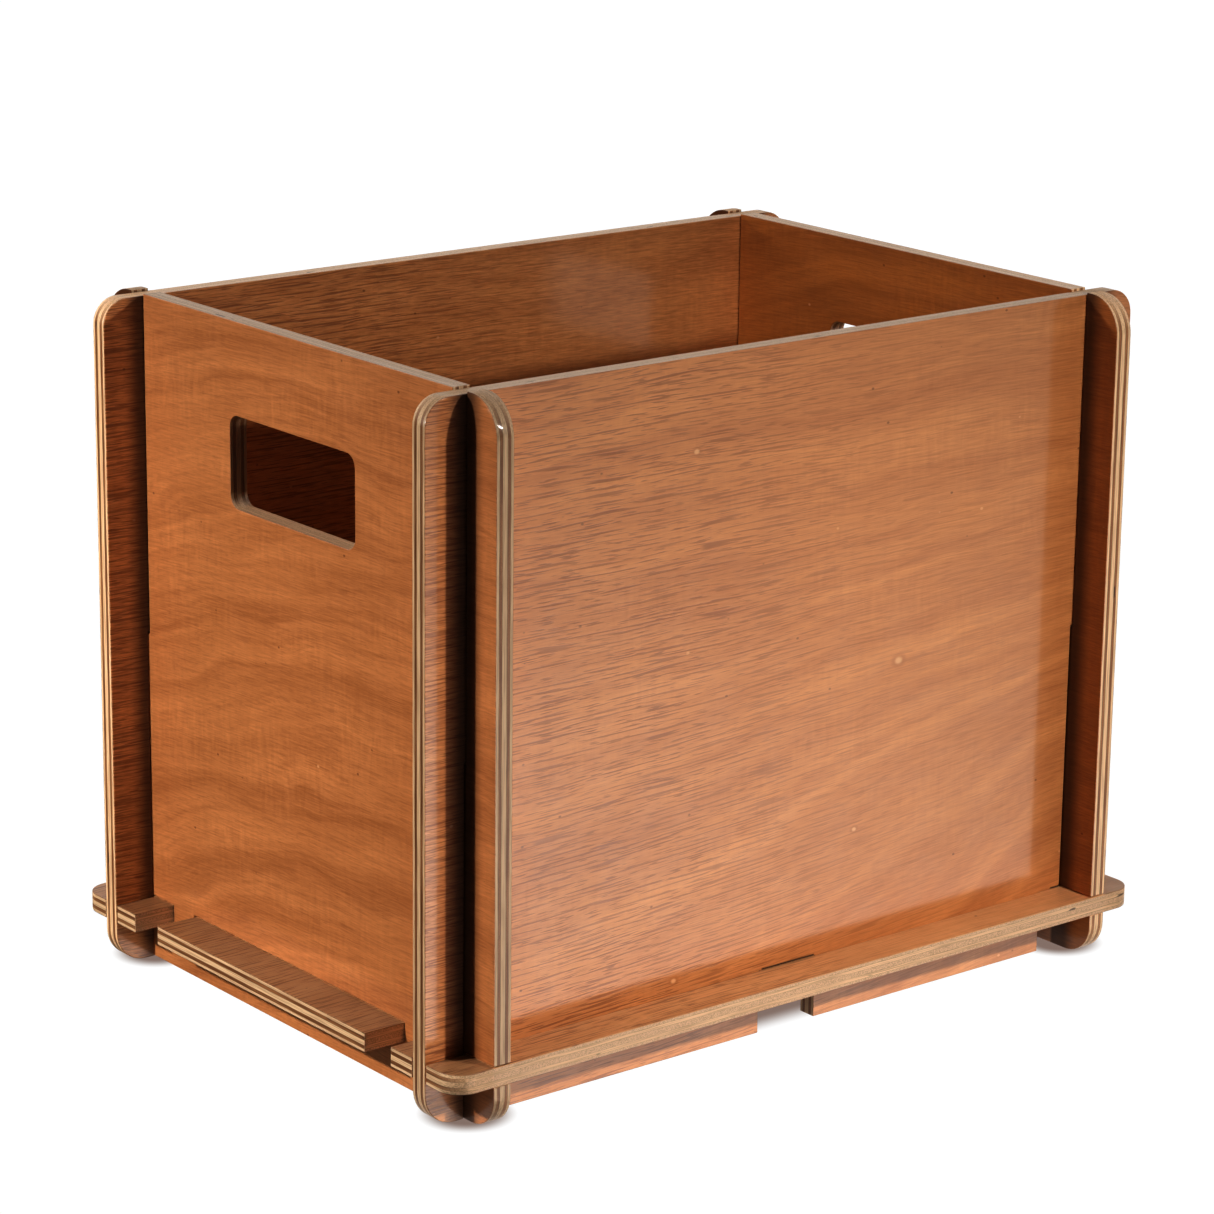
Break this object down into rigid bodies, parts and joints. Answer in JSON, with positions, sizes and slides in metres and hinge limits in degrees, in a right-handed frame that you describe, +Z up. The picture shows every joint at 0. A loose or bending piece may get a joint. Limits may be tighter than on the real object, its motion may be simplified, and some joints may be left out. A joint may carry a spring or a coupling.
{
  "type": "storage crate",
  "caption": "Open-topped storage crate of slotted plywood panels, with a hand hole in each end and a bottom that locks through the ends.",
  "frame": {"origin": "centre of the footprint, on the floor that the crate stands on", "axes": "+X along the long sides, +Y across them towards the back side, +Z up"},
  "size_m": [0.4, 0.293, 0.315],
  "materials": {
    "plywood": "satin varnish over reddish face veneer, edges left pale and striped"
  },
  "bodies": {
    "body": {"bottom_panel": "plywood", "left_end": "plywood", "right_end": "plywood"},
    "front": {"front_side": "plywood"},
    "back": {"back_side": "plywood"}
  },
  "joints": [
    {"name": "front_side_lift", "type": "slide", "parent": "body", "child": "front", "axis": [0, 0, 1], "range_m": [0, 0.33]},
    {"name": "back_side_lift", "type": "slide", "parent": "body", "child": "back", "axis": [0, 0, 1], "range_m": [0, 0.33]}
  ]
}
